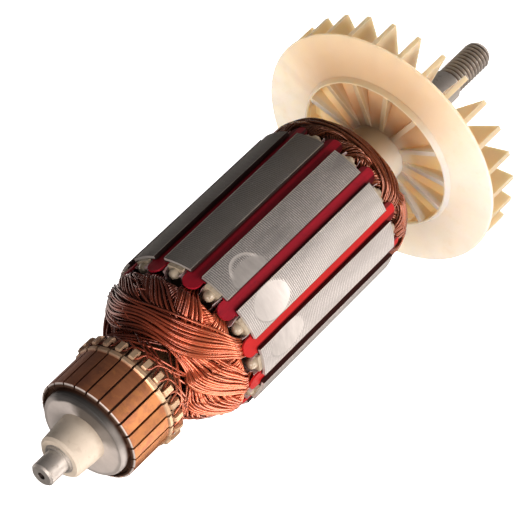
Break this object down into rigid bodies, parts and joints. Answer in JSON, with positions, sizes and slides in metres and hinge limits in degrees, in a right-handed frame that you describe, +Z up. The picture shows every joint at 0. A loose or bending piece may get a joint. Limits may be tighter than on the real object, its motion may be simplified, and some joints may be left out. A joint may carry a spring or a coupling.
{
  "type": "motor armature",
  "caption": "Rotor of a small universal motor: slotted laminated core with copper windings, a hook commutator, a moulded fan and a threaded shaft end.",
  "frame": {"origin": "middle of the bearing journal at the commutator end, on the shaft's axis", "axes": "+X along the shaft from the commutator end to the threaded end, +Z up across the shaft, +Y across it to the far side"},
  "size_m": [0.1392, 0.0544, 0.0544],
  "materials": {
    "shaft_steel": "turned and ground",
    "core_steel": "fine lamination lines across the turned face",
    "enamelled_copper": "enamelled copper wire under varnish",
    "commutator_copper": "turned copper, satin",
    "commutator_moulding": "grey phenolic moulding",
    "ivory_insulator": "varnished moulding",
    "bush_insulator": "smooth off-white moulding",
    "red_wedge": "red sheet insulation",
    "sleeve_insulator": "plain",
    "fan_nylon": "natural nylon, slightly translucent"
  },
  "bodies": {
    "root": {"shaft": "shaft_steel", "shaft_insulation": "sleeve_insulator", "lamination_core": "core_steel", "end_insulator_commutator_side": "ivory_insulator", "end_insulator_fan_side": "ivory_insulator", "slot_wedge_01": "red_wedge", "slot_wedge_02": "red_wedge", "slot_wedge_03": "red_wedge", "slot_wedge_04": "red_wedge", "slot_wedge_05": "red_wedge", "slot_wedge_06": "red_wedge", "slot_wedge_07": "red_wedge", "slot_wedge_08": "red_wedge", "slot_wedge_09": "red_wedge", "slot_wedge_10": "red_wedge", "slot_wedge_11": "red_wedge", "slot_wedge_12": "red_wedge", "coil_01": "enamelled_copper", "coil_02": "enamelled_copper", "coil_03": "enamelled_copper", "coil_04": "enamelled_copper", "coil_05": "enamelled_copper", "coil_06": "enamelled_copper", "coil_07": "enamelled_copper", "coil_08": "enamelled_copper", "coil_09": "enamelled_copper", "coil_10": "enamelled_copper", "coil_11": "enamelled_copper", "coil_12": "enamelled_copper", "commutator_moulding": "commutator_moulding", "insulating_bush": "bush_insulator", "fan": "fan_nylon", "commutator_bar_01": "commutator_copper", "commutator_bar_02": "commutator_copper", "commutator_bar_03": "commutator_copper", "commutator_bar_04": "commutator_copper", "commutator_bar_05": "commutator_copper", "commutator_bar_06": "commutator_copper", "commutator_bar_07": "commutator_copper", "commutator_bar_08": "commutator_copper", "commutator_bar_09": "commutator_copper", "commutator_bar_10": "commutator_copper", "commutator_bar_11": "commutator_copper", "commutator_bar_12": "commutator_copper", "commutator_bar_13": "commutator_copper", "commutator_bar_14": "commutator_copper", "commutator_bar_15": "commutator_copper", "commutator_bar_16": "commutator_copper", "commutator_bar_17": "commutator_copper", "commutator_bar_18": "commutator_copper", "commutator_bar_19": "commutator_copper", "commutator_bar_20": "commutator_copper", "commutator_bar_21": "commutator_copper", "commutator_bar_22": "commutator_copper", "commutator_bar_23": "commutator_copper", "commutator_bar_24": "commutator_copper"}
  },
  "joints": []
}
